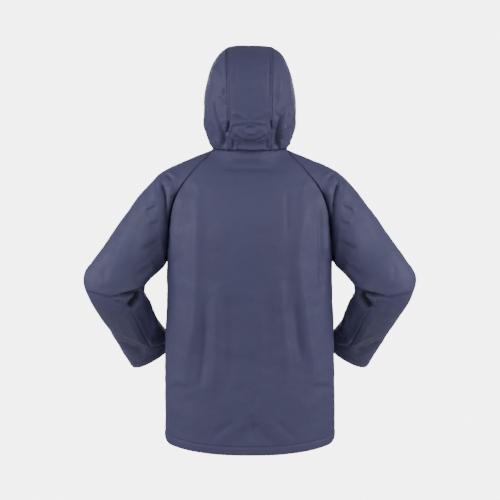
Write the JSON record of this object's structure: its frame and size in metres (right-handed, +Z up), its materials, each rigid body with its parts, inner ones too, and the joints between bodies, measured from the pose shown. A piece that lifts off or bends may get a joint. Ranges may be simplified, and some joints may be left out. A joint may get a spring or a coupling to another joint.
{
  "type": "hooded raincoat",
  "caption": "Hooded raincoat held in its worn shape: hollow body, raglan sleeves bent hand on hip, hood up, lapped front shut with press studs.",
  "frame": {"origin": "middle of the neck, level with the nape seam, where the wearer holds the coat up", "axes": "+Z up, the coat's front faces -Y, the wearer's left is +X"},
  "size_m": [0.85, 0.2936, 1.0351],
  "materials": {
    "coated_cloth": "matte waterproof coating",
    "press_stud": "satin"
  },
  "bodies": {
    "root": {"back_panel": "coated_cloth", "front_left": "coated_cloth", "front_right": "coated_cloth", "sleeve_left_upper": "coated_cloth", "sleeve_left_lower": "coated_cloth", "sleeve_right_upper": "coated_cloth", "sleeve_right_lower": "coated_cloth", "hood_centre": "coated_cloth", "hood_left": "coated_cloth", "hood_right": "coated_cloth", "press_stud_1": "press_stud", "press_stud_2": "press_stud", "press_stud_3": "press_stud", "press_stud_4": "press_stud", "press_stud_5": "press_stud", "press_stud_6": "press_stud", "press_stud_7": "press_stud"}
  },
  "joints": []
}
